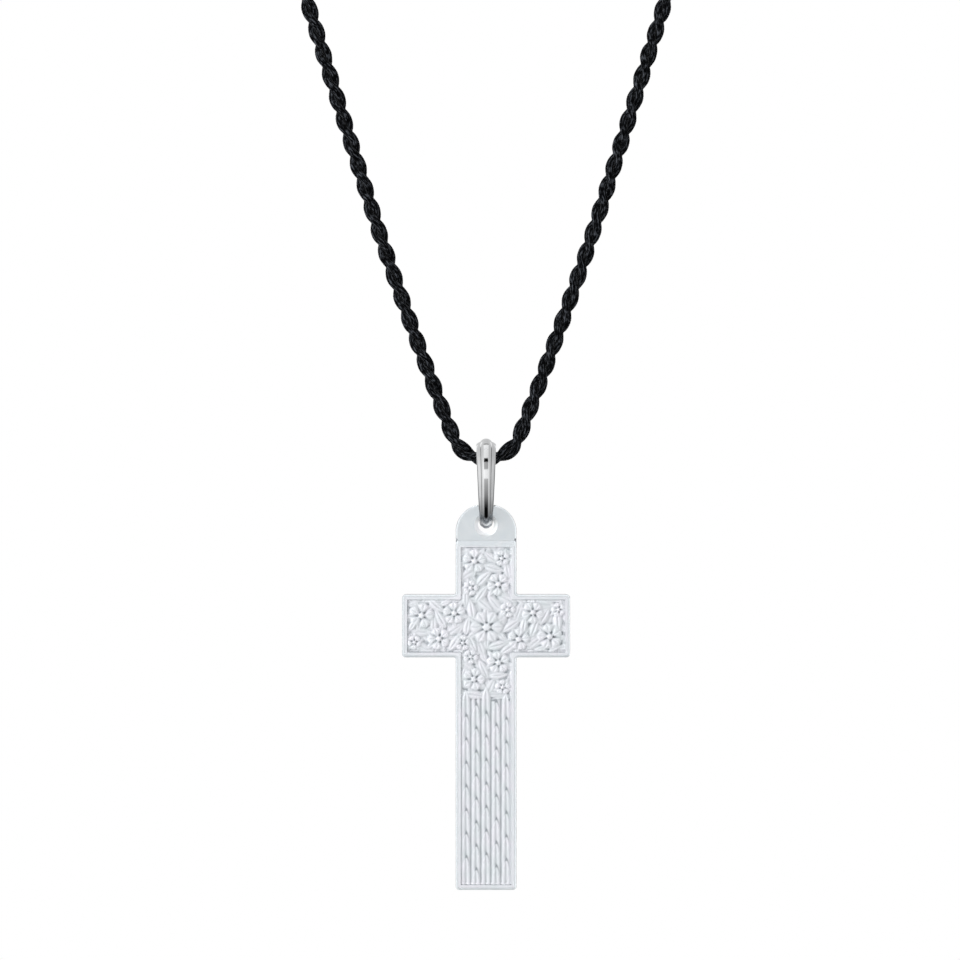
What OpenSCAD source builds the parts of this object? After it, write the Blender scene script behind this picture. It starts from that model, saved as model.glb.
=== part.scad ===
// Cross pendant of cast crystal on a twisted silk cord, in millimetres.
// X runs to the right in the front view, the front faces -Y and +Z is up.
// The origin is under the clasp, where a nape or a peg carries the loop.

/* [Cross] */
// Height of the cross, from the top of its tab to its foot
cross_h = 53.2; // [50:0.1:56]
// Width across the arms
bar_w = 23.2; // [22:0.1:25]
// Height of the arms
bar_h = 8.7; // [8.2:0.1:9.2]
// Width of the stem
stem_w = 8.4; // [8:0.1:8.8]
// Depth of the arms' upper edge below the top of the tab
bar_drop = 12.4; // [12:0.1:13]
// Thickness of the casting
cross_t = 5; // [4.4:0.1:6]
// Width of the bevel round both faces
bevel = 0.35; // [0.2:0.05:0.45]
// Width of the plain border round the relief, with its bevel
border_w = 0.7; // [0.6:0.05:0.9]
// Depth of the sunk field that holds the relief
field_depth = 0.45; // [0.3:0.05:0.6]

/* [Tab] */
// Thickness of the polished tab
tab_t = 2.8; // [2.4:0.1:3]
// Height of the tab above the relief
tab_h = 5.75; // [5.5:0.05:6.2]
// Radius of the tab's two shoulders
shoulder_r = 3.7; // [3.5:0.05:4]
// Height of the slope from the tab's face up to the relief
slope_h = 0.75; // [0.5:0.05:1]
// Radius of the drilled hole
hole_r = 1.1; // [1.05:0.01:1.2]
// Depth of the hole's centre below the top of the tab
hole_drop = 2.8; // [2.6:0.05:3]
// Width of the countersink round the hole
sink_w = 0.5; // [0.3:0.05:0.6]

/* [Relief] */
// Height of the highest petals above the sunk field
relief_h = 0.55; // [0.3:0.05:0.6]
// Size of the facets that the raised work is cut in
facet = 0.25; // [0.25:0.01:0.6]

/* [Bail] */
// Height of the bail
bail_h = 12.5; // [12.3:0.1:12.7]
// Depth of the bail, front to back
bail_d = 10.4; // [10:0.1:11]
// Thickness of the bail's wall with its rib
bail_t = 1.35; // [1.3:0.01:1.38]
// Width of the bail at its foot
bail_foot_w = 1.45; // [1.4:0.05:1.55]
// Width of the bail at its crown
bail_crown_w = 2.85; // [2.4:0.05:3]
// Height of the rib above the bail's flanges, at the crown
rib_rise = 0.45; // [0.35:0.05:0.5]

/* [Cord and clasp] */
// Diameter over both strands of the cord
cord_d = 2.3; // [2:0.1:2.3]
// Gap between the cord and the crown of the bail
cord_gap = 0.35; // [0.3:0.05:0.5]
// Radius of the clasp's end caps
cap_r = 1.7; // [1.5:0.1:2]
// Radius of the clasp's barrel
barrel_r = 2.2; // [2:0.1:2.6]
// Length of the clasp's barrel
barrel_l = 9; // [6:1:12]

/* [Hidden] */

// Right half of the cord's route: [across, height above its lowest point]. The left half mirrors it.
HALF_ROUTE = [
    [0, 0], [1.5, 0.25], [2.9, 0.95], [4, 2.05], [4.8, 3.7], [7.3, 10.2], [10.7, 19.5],
    [14.5, 30.5], [18.3, 42.5], [22.1, 54.7], [25.9, 67], [30.4, 81.5], [34.8, 96],
    [39, 110.5], [42.8, 125], [45.3, 140], [44.8, 155], [39.6, 168.8], [28.8, 178.8], [12, 182]
];
ROUTE_LAST = len(HALF_ROUTE) - 1;
ROUTE = [for (i = [-ROUTE_LAST : ROUTE_LAST]) [sign(i) * HALF_ROUTE[abs(i)].x, HALF_ROUTE[abs(i)].y]];
cord_sides = 8;
rings_per_span = 2;

clasp_l = 2 * HALF_ROUTE[ROUTE_LAST].x;
clasp_z = barrel_r;
cord_low_z = clasp_z - HALF_ROUTE[ROUTE_LAST].y;
bail_z = cord_low_z + cord_d / 2 + cord_gap + bail_t - bail_h / 2;
bail_stations = 36;
bail_chamfer = 0.35;
bail_flare = 0.6;
flange_side = 0.47;
rib_share = 0.58;
rib_angle = 65;
rib_foot_rise = 0.16;
wire_drop = 0.55;
hole_z = bail_z - bail_h / 2 + wire_drop;

// The cross is drawn lying on its back, with its hole at the origin and its foot towards -Y.
tab_top = hole_drop;
relief_top = tab_top - tab_h;
bar_top = tab_top - bar_drop;
bar_mid = bar_top - bar_h / 2;
foot = tab_top - cross_h;
corner_r = 0.5;
lip = 0.12;
embed = 0.15;
relief_gap = 0.04;
ground = 0.05;
fine = 32;
bed_h = 0.12;
relief_turn = -24;
scales_top = -22.4;
scale_pitch = [1.384, 3.25];
scale_size = [1.42, 4.9];
scale_rows = 8;
tip_l = 1.6;
leaf_crease = 0.4;
reed_pitch = scale_pitch.x / 2;
// How far the tips of each column's leaves lie below those of the highest column.
COLUMN_DROP = [0.4, 2.1, 0, 1.7, 0.8];

// Blossoms of the relief: [x, y, radius, turn, petals].
BLOSSOMS = [
    [0.1, -14.1, 2.4, 0, 6],
    [-4.4, -12.2, 1.65, 20, 5], [-8.9, -12.5, 1.85, 5, 5], [-6.5, -15.7, 1.65, 40, 5],
    [4.5, -15.8, 1.65, 10, 5], [8.8, -15.4, 1.85, 30, 5], [6.5, -12.1, 1.65, 55, 5],
    [-1.6, -5, 1.75, 15, 5], [1.7, -8.2, 1.65, 50, 5],
    [1.7, -19, 1.65, 25, 5], [-1.7, -21.3, 1.65, 0, 5],
    [2.2, -4.6, 1.15, 30, 5], [-2.1, -8.7, 1.15, 0, 5], [-9.9, -16.2, 1.05, 50, 5], [-3.2, -16.3, 1.15, 10, 5],
    [3, -11.7, 1.15, 0, 5], [10, -11.7, 1.05, 35, 5], [-2.1, -18.2, 1.1, 60, 5], [2.3, -22.4, 1.1, 20, 5]
];
// Leaves between the blossoms: [x, y of the root, direction, length].
LEAVES = [
    [-1.9, -3.3, 205, 2], [1.6, -5.3, 140, 2.8], [-0.4, -5.6, 345, 3.2], [-3.5, -7.5, 35, 3.2], [3.2, -7.6, 100, 2.8],
    [-1.4, -8.5, 45, 3.2], [1.5, -9.6, 335, 3.2], [-1.3, -10.1, 320, 3.2], [-8, -10.2, 320, 3.2], [-8.8, -10.6, 195, 2.4],
    [-1.5, -10.8, 55, 3.2], [-6.5, -11.1, 20, 2], [9.7, -11.1, 175, 3.2], [-2.8, -11.4, 90, 2.8], [9.8, -11.9, 275, 3.2],
    [2.2, -12, 130, 3.2], [4.7, -13.1, 215, 3.2], [-1.7, -13.2, 100, 3.2], [4, -13.4, 70, 3.2], [7.3, -13.9, 60, 3.2],
    [-5.5, -14.3, 120, 3.2], [2, -14.3, 80, 3.2], [1.4, -14.6, 315, 2.4], [-10.7, -14.7, 55, 2.4], [-10.3, -14.8, 0, 3.2],
    [-7.2, -14.9, 90, 2.8], [5, -15.2, 80, 2.8], [-5.6, -15.3, 35, 3.2], [-2.8, -15.3, 80, 2.8], [-2.4, -15.3, 295, 2.8],
    [-1.2, -15.6, 290, 3.2], [6.2, -15.6, 70, 3.2], [4.3, -16.2, 215, 3.2], [-9.8, -16.4, 335, 2.8], [8.6, -16.9, 190, 2],
    [0.2, -17, 15, 3.2], [5.6, -17.2, 40, 3.2], [8.7, -17.3, 20, 2], [-5.1, -17.4, 55, 3.2], [-3.5, -18.7, 330, 2.4],
    [-2.5, -19.5, 240, 2], [0.4, -20.9, 5, 2.8], [1.2, -21.2, 245, 3.2], [0.3, -21.3, 115, 3.2], [-0.2, -23.7, 170, 3.2],
    [1.1, -23.8, 5, 2.4]
];

function turned(v, angle) = [v.x * cos(angle) + v.y * sin(angle), v.y * cos(angle) - v.x * sin(angle)];
// Angle from the middle of the nearest of n equal sectors.
function in_sector(angle, n) = let (t = angle * n / 360) (t - round(t)) * 360 / n;

// Height of a leaf or petal at p, with its root at the origin and its tip at [0, l].
// full is where along its length it is widest, and crease is how deep its middle line is cut.
function blade(p, l, w, full, crease) =
    p.y <= 0 || p.y >= l || abs(p.x) >= w / 2 ? 0 :
    let (s = p.y / l,
         a = abs(p.x) / (w / 2 * sin(180 * pow(s, ln(0.5) / ln(full)))))
    a >= 1 ? 0 : sqrt(1 - a * a) * pow(sin(180 * s), 0.3) * (1 - crease * max(0, 1 - 4 * a));
function leaf(p, l) = blade(p, l, 0.45 * l, 0.42, 0.35);

// Petals round a domed eye.
function blossom(p, r, petals) =
    let (d = norm(p) / r)
    d > 1 ? 0 : d < 0.25 ? 0.85 + 0.3 * sqrt(1 - 16 * d * d) :
    let (a = in_sector(atan2(p.y, p.x), petals))
    blade([d * sin(a), d * cos(a) - 0.08], 0.92, 5 / petals, 0.64, 0.2);

// The leaves lie at three heights, so that those which cross stay apart.
function foliage(p) =
    max([for (i = [0 : len(LEAVES) - 1]) let (v = LEAVES[i], q = p - [v[0], v[1]])
        norm(q) > v[3] ? 0 : (0.56 + 0.13 * (i % 3)) * leaf(turned(q, v[2] - 90), v[3])]);

// Upright leaf with parallel sides, a crease and a pointed arch for its tip, lifted towards the tip. x runs across it and u from its root.
function upright_leaf(x, u) =
    u <= 0 || u >= scale_size.y ? 0 :
    let (tip = max(0, 1 - (scale_size.y - u) / tip_l),
         a = abs(x) / (scale_size.x / 2 * (1.001 - pow(tip, 1.8))))
    a >= 1 ? 0 : sqrt(1 - a * a) * (1 - leaf_crease * max(0, 1 - 2.5 * a)) * (0.3 + 0.65 * u / scale_size.y);

// Columns of upright leaves, each laid over the root of the one above.
function scale_leaves(p) =
    let (column = floor(p.x / scale_pitch.x))
    max([for (c = [column, column + 1]) if (abs(c) <= 2)
        let (q = (scales_top - COLUMN_DROP[c + 2] - p.y) / scale_pitch.y)
        for (k = [floor(q) - 1, floor(q)]) if (k >= 0 && k < scale_rows)
        upright_leaf(p.x - c * scale_pitch.x, scale_size.y - (q - k) * scale_pitch.y), 0]);

// Upright reeds that the lowest leaves grow from.
function reeds(p) = bed_h + 0.42 * sqrt(abs(sin(180 * p.x / reed_pitch)));

function relief(p) = relief_h * (p.y > relief_turn ?
    max(bed_h,
        max([for (b = BLOSSOMS) blossom(turned(p - [b[0], b[1]], b[3]), b[2], b[4])]),
        foliage(p),
        scale_leaves(p)) :
    max(scale_leaves(p), reeds(p)));

// Grid lines of the relief's facets: the stem's columns run down the whole field and the arms' rows cross them.
function steps(low, high, n) = [for (i = [0 : n]) low + (high - low) * i / n];
function joined(lists) = concat(lists[0], [for (k = [1 : len(lists) - 1], i = [1 : len(lists[k]) - 1]) lists[k][i]]);
arm_x = bar_w / 2 - border_w - relief_gap;
stem_x = stem_w / 2 - border_w - relief_gap;
arm_high = bar_top - border_w - relief_gap;
arm_low = bar_top - bar_h + border_w + relief_gap;
field_high = relief_top - lip - relief_gap;
field_low = foot + border_w + relief_gap;
in_arm = round((arm_x - stem_x) / facet);
in_stem = 4 * round(2 * stem_x / scale_pitch.x);
above_arms = round((field_high - arm_high) / facet);
beside_arms = round((arm_high - arm_low) / facet);
beside_blossoms = round((arm_low - relief_turn) / facet);
beside_scales = round((relief_turn - field_low) / (1.45 * facet));
below_arms = beside_blossoms + beside_scales;
GRID_X = joined([steps(-arm_x, -stem_x, in_arm), steps(-stem_x, stem_x, in_stem), steps(stem_x, arm_x, in_arm)]);
GRID_Y = joined([steps(field_high, arm_high, above_arms), steps(arm_high, arm_low, beside_arms),
                 steps(arm_low, relief_turn, beside_blossoms), steps(relief_turn, field_low, beside_scales)]);
COLUMNS = [0, in_arm, in_arm + in_stem, 2 * in_arm + in_stem];
ROWS = [0, above_arms, above_arms + beside_arms, above_arms + beside_arms + below_arms];
// Corners of the field's outline, as columns and rows of the grid, clockwise from the front.
CORNERS = [[1, 0], [2, 0], [2, 1], [3, 1], [3, 2], [2, 2], [2, 3], [1, 3], [1, 2], [0, 2], [0, 1], [1, 1]];
EDGE = [for (k = [0 : len(CORNERS) - 1]) let (
    a = CORNERS[k], b = CORNERS[(k + 1) % len(CORNERS)],
    from = [COLUMNS[a.x], ROWS[a.y]], to = [COLUMNS[b.x], ROWS[b.y]], n = norm(to - from))
    for (i = [0 : n - 1]) from + (to - from) * i / n];

function in_field(i, j) = (i >= COLUMNS[1] && i <= COLUMNS[2]) || (j >= ROWS[1] && j <= ROWS[2]);
function on_edge(i, j) =
    (i == COLUMNS[0] || i == COLUMNS[3] || j == ROWS[0] || j == ROWS[3]) ||
    ((i == COLUMNS[1] || i == COLUMNS[2]) && (j <= ROWS[1] || j >= ROWS[2])) ||
    ((j == ROWS[1] || j == ROWS[2]) && (i <= COLUMNS[1] || i >= COLUMNS[2]));

// The raised work as one solid, from just under the field's floor up to its petals.
module raised_work() {
    wide = len(GRID_X);
    tall = len(GRID_Y);
    count = len(EDGE);
    first = wide * tall;
    points = concat(
        [for (j = [0 : tall - 1], i = [0 : wide - 1]) [GRID_X[i], GRID_Y[j],
            !in_field(i, j) || on_edge(i, j) ? ground : relief([GRID_X[i], GRID_Y[j]])]],
        [for (e = EDGE) [GRID_X[e.x], GRID_Y[e.y], -embed]],
        [[0, bar_mid, -embed]]
    );
    function top(e) = e.y * wide + e.x;
    polyhedron(points, concat(
        [for (j = [0 : tall - 2], i = [0 : wide - 2]) if (in_field(i, j) && in_field(i + 1, j + 1)
            && in_field(i + 1, j) && in_field(i, j + 1)) let (
            a = j * wide + i, b = a + 1, c = b + wide, d = a + wide)
            each abs(points[a].z - points[c].z) < abs(points[b].z - points[d].z) ?
                [[a, b, c], [a, c, d]] : [[a, b, d], [b, c, d]]],
        [for (k = [0 : count - 1]) let (m = (k + 1) % count)
            each [[top(EDGE[m]), top(EDGE[k]), first + k], [top(EDGE[m]), first + k, first + m],
                  [first + count, first + m, first + k]]]
    ));
}

module round_block(w, y_low, y_high, t, inset) {
    linear_extrude(t, center = true)
    translate([0, (y_low + y_high) / 2])
    offset(r = corner_r, $fn = fine)
    square([w - 2 * inset - 2 * corner_r, y_high - y_low - 2 * inset - 2 * corner_r], center = true);
}

module stem() {
    hull() {
        round_block(stem_w, foot, relief_top, cross_t - 2 * bevel, 0);
        round_block(stem_w, foot, relief_top, cross_t, bevel);
        round_block(stem_w, foot, relief_top + slope_h, tab_t - 2 * bevel, 0);
        round_block(stem_w, foot, relief_top + slope_h, tab_t, bevel);
    }
}

module arms() {
    hull() {
        round_block(bar_w, bar_top - bar_h, bar_top, cross_t - 2 * bevel, 0);
        round_block(bar_w, bar_top - bar_h, bar_top, cross_t, bevel);
    }
}

module tab() {
    hull() {
        for (side = [-1, 1], inset = [0, bevel])
            translate([side * (stem_w / 2 - shoulder_r), tab_top - shoulder_r, 0])
            cylinder(r = shoulder_r - inset, h = tab_t - 2 * bevel + 2 * inset, center = true, $fn = 2 * fine);
        round_block(stem_w, relief_top - corner_r, 0, tab_t - 2 * bevel, 0);
        round_block(stem_w, relief_top - corner_r, 0, tab_t, bevel);
    }
}

// Outline of the sunk field, inside the plain border.
module field() {
    translate([-stem_w / 2 + border_w, foot + border_w])
        square([stem_w - 2 * border_w, relief_top - lip - foot - border_w]);
    translate([-bar_w / 2 + border_w, bar_top - bar_h + border_w])
        square([bar_w - 2 * border_w, bar_h - 2 * border_w]);
}

module hole() {
    cylinder(r = hole_r, h = 2 * cross_t, center = true, $fn = 2 * fine);
    for (side = [0, 1])
        mirror([0, 0, side])
        translate([0, 0, tab_t / 2 - sink_w])
        cylinder(r1 = hole_r, r2 = hole_r + 2 * sink_w, h = 2 * sink_w, $fn = 2 * fine);
}

// One casting: the plain body, sunk and drilled, with the raised work in its field.
module cross() {
    floor_z = cross_t / 2 - field_depth;
    color([0.92, 0.95, 0.97, 0.8])
    translate([0, 0, hole_z])
    rotate([90, 0, 0])
    union() {
        difference() {
            union() {
                stem();
                arms();
                tab();
            }
            translate([0, 0, floor_z]) linear_extrude(cross_t) field();
            hole();
        }
        translate([0, 0, floor_z]) raised_work();
    }
}

// Profile across the bail's wall, from its inner face outwards: rounded flanges with a domed rib between them.
// Towards the foot the rib sinks into the flanges, so the ring ends half-round there.
function bail_profile(w) = let (
    f = w / 2, r = rib_share * f,
    rise = rib_foot_rise + (rib_rise - rib_foot_rise) * (w - bail_foot_w) / (bail_crown_w - bail_foot_w),
    t = bail_t - rise,
    flange = [for (a = [0, 30, 60]) [r + (f - r) * cos(a), flange_side + (t - flange_side) * sin(a)]]) concat(
    [[-f + bail_chamfer, 0], [f - bail_chamfer, 0], [f, bail_chamfer]],
    flange,
    [for (i = [3 : -1 : -3]) let (a = i * rib_angle / 3)
        [r * sin(a) / sin(rib_angle), t + rise * (cos(a) - cos(rib_angle)) / (1 - cos(rib_angle))]],
    [for (i = [2 : -1 : 0]) [-flange[i].x, flange[i].y]],
    [[-f, bail_chamfer]]
);
function bail_width(z) = bail_foot_w + (bail_crown_w - bail_foot_w) * pow(z / bail_h + 0.5, bail_flare);

// Closed ring in the YZ plane, swept round an oval whose wall is measured inwards.
module bail() {
    a = bail_d / 2 - bail_t;
    b = bail_h / 2 - bail_t;
    size = len(bail_profile(1));
    points = [for (i = [0 : bail_stations - 1])
        let (t = i * 360 / bail_stations, y = a * sin(t), z = b * cos(t), n = [b * sin(t), a * cos(t)] / norm([b * sin(t), a * cos(t)]))
        for (p = bail_profile(bail_width(z))) [p.x, y + n.x * p.y, z + n.y * p.y]];
    color("silver")
    translate([0, 0, bail_z])
    polyhedron(points, [for (i = [0 : bail_stations - 1], k = [0 : size - 1]) let (
        j = (i + 1) % bail_stations, m = (k + 1) % size,
        p = i * size + k, q = i * size + m, r = j * size + m, s = j * size + k)
        each [[p, q, r], [p, r, s]]]);
}

// Catmull-Rom point of the route, a share s of the way from point i to the next.
function route_point(i, s) = let (
    a = ROUTE[max(i - 1, 0)], b = ROUTE[i], c = ROUTE[i + 1], d = ROUTE[min(i + 2, len(ROUTE) - 1)])
    ((2 * b) + (c - a) * s + (2 * a - 5 * b + 4 * c - d) * s * s + (3 * b - a - 3 * c + d) * s * s * s) / 2;
function unit(v) = v / norm(v);

module neck_cord() {
    spans = len(ROUTE) - 1;
    line = concat([for (i = [0 : spans - 1], k = [0 : rings_per_span - 1]) route_point(i, k / rings_per_span)],
                  [ROUTE[spans]]);
    last = len(line) - 1;
    tangents = [for (i = [0 : last]) i == 0 || i == last ? [-1, 0] : unit(line[i + 1] - line[i - 1])];
    points = [for (i = [0 : last], k = [0 : cord_sides - 1])
        let (turn = (k + 0.5) * 360 / cord_sides, across = [-tangents[i].y, tangents[i].x] * cord_d / 2 * cos(turn))
        [line[i].x + across.x, cord_d / 2 * sin(turn), line[i].y + across.y]];
    color([0.05, 0.05, 0.06])
    translate([0, 0, cord_low_z])
    polyhedron(points, concat(
        [for (i = [0 : last - 1], k = [0 : cord_sides - 1]) let (
            m = (k + 1) % cord_sides, p = i * cord_sides + k, q = i * cord_sides + m,
            r = (i + 1) * cord_sides + m, s = (i + 1) * cord_sides + k)
            each [[p, q, r], [p, r, s]]],
        [[for (k = [cord_sides - 1 : -1 : 0]) k]],
        [[for (k = [0 : cord_sides - 1]) last * cord_sides + k]]
    ));
}

// Plain barrel clasp at the nape, turned in one piece with its two end caps.
module clasp() {
    step = (barrel_r - cap_r) * 1.5;
    color("silver")
    translate([0, 0, clasp_z])
    rotate([0, 90, 0])
    rotate_extrude($fn = 2 * fine)
    polygon([
        [0, -clasp_l / 2], [cap_r - 0.3, -clasp_l / 2], [cap_r, -clasp_l / 2 + 0.3],
        [cap_r, -barrel_l / 2 - step], [barrel_r, -barrel_l / 2],
        [barrel_r, barrel_l / 2], [cap_r, barrel_l / 2 + step],
        [cap_r, clasp_l / 2 - 0.3], [cap_r - 0.3, clasp_l / 2], [0, clasp_l / 2]
    ]);
}

neck_cord();
clasp();
bail();
cross();
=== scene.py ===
# %% [markdown]
# # A cast crystal cross on a twisted silk cord
#
# The solids come from the CAD model, which gives every piece its real size and place. This lesson
# dresses them: it lays the silk cord from its two strands, shapes the bail as a ring of polished
# silver, cuts the cross and its raised work as one casting, and gives each its finish.
# Lengths are in millimetres while a piece is shaped, because a bevel of 0.35 is easier to read than
# one of 0.00035. Each finished piece is then made a thousand times smaller, which is metres.

# %% Frame and tools
import math

import bpy
import numpy as np
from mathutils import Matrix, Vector


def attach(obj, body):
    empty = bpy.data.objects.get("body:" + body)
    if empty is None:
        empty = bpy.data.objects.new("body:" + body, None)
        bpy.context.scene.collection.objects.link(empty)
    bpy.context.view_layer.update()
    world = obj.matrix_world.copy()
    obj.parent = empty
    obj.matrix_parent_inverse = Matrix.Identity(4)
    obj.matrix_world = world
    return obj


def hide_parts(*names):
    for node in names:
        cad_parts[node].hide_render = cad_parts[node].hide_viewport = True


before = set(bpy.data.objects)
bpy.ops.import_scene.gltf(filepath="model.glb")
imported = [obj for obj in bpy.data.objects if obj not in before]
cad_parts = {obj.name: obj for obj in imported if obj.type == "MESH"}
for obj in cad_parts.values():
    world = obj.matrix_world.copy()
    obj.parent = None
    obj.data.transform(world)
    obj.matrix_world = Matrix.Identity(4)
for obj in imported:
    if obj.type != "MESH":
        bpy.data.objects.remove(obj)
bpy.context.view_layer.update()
print("CAD nodes:", sorted(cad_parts))

MM = 0.001


def deselect():
    """An operator acts on everything that is selected, so each step starts from nothing."""
    if bpy.context.mode != "OBJECT":
        bpy.ops.object.mode_set(mode="OBJECT")
    bpy.ops.object.select_all(action="DESELECT")


def activate(obj):
    deselect()
    obj.select_set(True)
    bpy.context.view_layer.objects.active = obj
    return obj


def newest(name):
    """The object that an operator has just added, under its own name."""
    obj = bpy.context.object
    obj.name = obj.data.name = name
    return activate(obj)


def points_of(obj):
    co = np.empty(len(obj.data.vertices) * 3)
    obj.data.vertices.foreach_get("co", co)
    return co.reshape(-1, 3)


def set_points(obj, co):
    obj.data.vertices.foreach_set("co", np.asarray(co, float).ravel())
    obj.data.update()


def clear_picks(obj, kind):
    """Nothing is selected in the mesh any more, and what is picked next is of one kind."""
    activate(obj)
    bpy.ops.object.mode_set(mode="EDIT")
    bpy.ops.mesh.select_all(action="DESELECT")
    bpy.ops.mesh.select_mode(type=kind)
    bpy.ops.object.mode_set(mode="OBJECT")


def pick_faces(obj, wanted):
    """Selects the faces for which wanted(centre, normal) holds, and stays in edit mode."""
    clear_picks(obj, "FACE")
    for face in obj.data.polygons:
        face.select = bool(wanted(face.center, face.normal))
    bpy.ops.object.mode_set(mode="EDIT")


def pick_edges(obj, wanted):
    """The same for the edges for which wanted(end, other end, face normals) holds."""
    clear_picks(obj, "EDGE")
    mesh, beside = obj.data, {}
    for face in mesh.polygons:
        for key in face.edge_keys:
            beside.setdefault(key, []).append(face.normal)
    for edge in mesh.edges:
        a, b = (mesh.vertices[i].co for i in edge.vertices)
        edge.select = bool(wanted(a, b, beside.get(edge.key, [])))
    bpy.ops.object.mode_set(mode="EDIT")


def face_outwards(obj):
    """Turns every face of a closed mesh to the outside."""
    activate(obj)
    bpy.ops.object.mode_set(mode="EDIT")
    bpy.ops.mesh.select_all(action="SELECT")
    bpy.ops.mesh.normals_make_consistent(inside=False)
    bpy.ops.object.mode_set(mode="OBJECT")


def modify(obj, kind, **settings):
    """Adds a modifier with its settings and applies it at once."""
    activate(obj)
    modifier = obj.modifiers.new(kind.title(), kind)
    for key, value in settings.items():
        setattr(modifier, key, value)
    bpy.ops.object.modifier_apply(modifier=modifier.name)


def cut(obj, tool, operation="DIFFERENCE"):
    """Cuts obj with a closed tool, or fuses the two, and removes the tool."""
    modify(obj, "BOOLEAN", object=tool, operation=operation, solver="MANIFOLD")
    bpy.data.objects.remove(tool)


def to_metres(obj, lift=0.0):
    """Ends the shaping of a piece: raised to its height, in metres, with its place in its mesh."""
    activate(obj)
    obj.location = (0, 0, 0)
    set_points(obj, (points_of(obj) + (0, 0, lift)) * MM)
    print(obj.name, "has", sum(len(f.vertices) - 2 for f in obj.data.polygons), "triangles")


# %% [markdown]
# ## Camera
#
# The pendant is seen straight from the front with no visible perspective, as a long lens sees it.
# The picture is 133 mm wide at the pendant, so the lens is the sensor's width times the distance
# over that. The aim is the middle of the picture, just left of the cross's own centre line.

# %% Camera
VIEW_WIDTH, VIEW_DISTANCE, SENSOR_W = 132.9, 800, 36
AIM_X, AIM_Z = -0.845, -182.7

bpy.ops.object.camera_add(
    location=(AIM_X * MM, -VIEW_DISTANCE * MM, AIM_Z * MM), rotation=(math.pi / 2, 0, 0))
camera = bpy.context.object
camera.data.sensor_width = SENSOR_W
camera.data.lens = SENSOR_W * VIEW_DISTANCE / VIEW_WIDTH
camera.data.clip_start, camera.data.clip_end = 0.01, 20
bpy.context.scene.camera = camera
print(f"lens {camera.data.lens:.0f} mm")

# %% [markdown]
# ## Cord
#
# The cord is two strands of silk floss twisted round each other, 2.3 mm over both. It could be one
# tube with a bump, but the twist shows in the outline, so both strands are real. Each is a soft
# oval, squashed a little by the other, that goes once round in 6.45 mm. The line that they follow
# is the CAD cord's own: a loop that hangs from the nape, spreads and closes at the bail.

# %% The cord's line
# Half of the loop as (x, height), from the middle of the bail's crown up to the clasp.
HALF_ROUTE = [
    (0, 0), (1.5, 0.25), (2.9, 0.95), (4, 2.05), (4.8, 3.7), (7.3, 10.2), (10.7, 19.5),
    (14.5, 30.5), (18.3, 42.5), (22.1, 54.7), (25.9, 67), (30.4, 81.5), (34.8, 96),
    (39, 110.5), (42.8, 125), (45.3, 140), (44.8, 155), (39.6, 168.8), (28.8, 178.8), (12, 182),
]
CLASP_R = 2.2
CORD_LOW = CLASP_R - HALF_ROUTE[-1][1]
CORD_D = 2.3
TWIST_PITCH = 6.45
RINGS_PER_TURN = 20


def smooth_line(points, steps=40):
    """A Catmull-Rom line through the points, the same curve that the CAD cord follows."""
    p = np.vstack([points[0], points, points[-1]])
    t = (np.arange(steps) / steps)[:, None]
    parts = []
    for a, b, c, d in zip(p, p[1:], p[2:], p[3:]):
        parts.append((2 * b + (c - a) * t + (2 * a - 5 * b + 4 * c - d) * t**2
                      + (3 * b - a - 3 * c + d) * t**3) / 2)
    return np.vstack([*parts, points[-1]])


half = np.array(HALF_ROUTE, float)
route = smooth_line(np.vstack([half[:0:-1] * (-1, 1), half]))
along = np.concatenate([[0], np.cumsum(np.linalg.norm(np.diff(route, axis=0), axis=1))])
CORD_LENGTH = along[-1]
ring_at = np.linspace(0, CORD_LENGTH, round(CORD_LENGTH / TWIST_PITCH * RINGS_PER_TURN))
centre = np.column_stack([np.interp(ring_at, along, route[:, k]) for k in (0, 1)])
centre = np.column_stack([centre[:, 0], np.zeros(len(centre)), centre[:, 1] + CORD_LOW])
print(f"cord {CORD_LENGTH:.1f} mm long, {CORD_LENGTH / TWIST_PITCH:.0f} turns")

# %% [markdown]
# Each ring of a strand lies square to the cord's line. `across` points out of the loop, and Y is
# the other direction, because the loop hangs in one plane. A little slow wander in the strand's
# thickness keeps the twist from looking machined.

# %% The two strands
STRAND_OFF, STRAND_DEEP, STRAND_WIDE = 0.555, 0.595, 0.68
STRAND_SIDES = 16
# Each wave of the wander: its share of the thickness, its pace, and the strands' lag.
WANDER = ((0.03, 1.7, 2.1), (0.02, 4.3, 1))
# Over the bail the cord is nipped a little, so the twist is slower there.
NIP, NIP_L = 0.068, 4

from_bail = ring_at - CORD_LENGTH / 2
turns = from_bail / TWIST_PITCH - NIP * np.tanh(from_bail / NIP_L)
heading = np.gradient(centre, axis=0)
heading /= np.linalg.norm(heading, axis=1)[:, None]
across = np.column_stack([-heading[:, 2], np.zeros(len(heading)), heading[:, 0]])
forward = np.array([0.0, 1.0, 0.0])


def strand(which):
    """The rings of points of one of the two strands."""
    turn = 2 * math.pi * turns + math.pi * which
    fat = 1
    for share, pace, lag in WANDER:
        fat = fat + share * np.sin(ring_at * pace + lag * which)
    a = math.pi + np.linspace(0, 2 * math.pi, STRAND_SIDES, endpoint=False)
    out = STRAND_OFF + STRAND_DEEP * np.cos(a)[None, :] * np.minimum(fat, 1)[:, None]
    side = STRAND_WIDE * np.sin(a)[None, :] * fat[:, None]
    c, s = np.cos(turn)[:, None], np.sin(turn)[:, None]
    u, v = out * c - side * s, out * s + side * c
    return centre[:, None] + across[:, None] * u[..., None] + forward * v[..., None]


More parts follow.
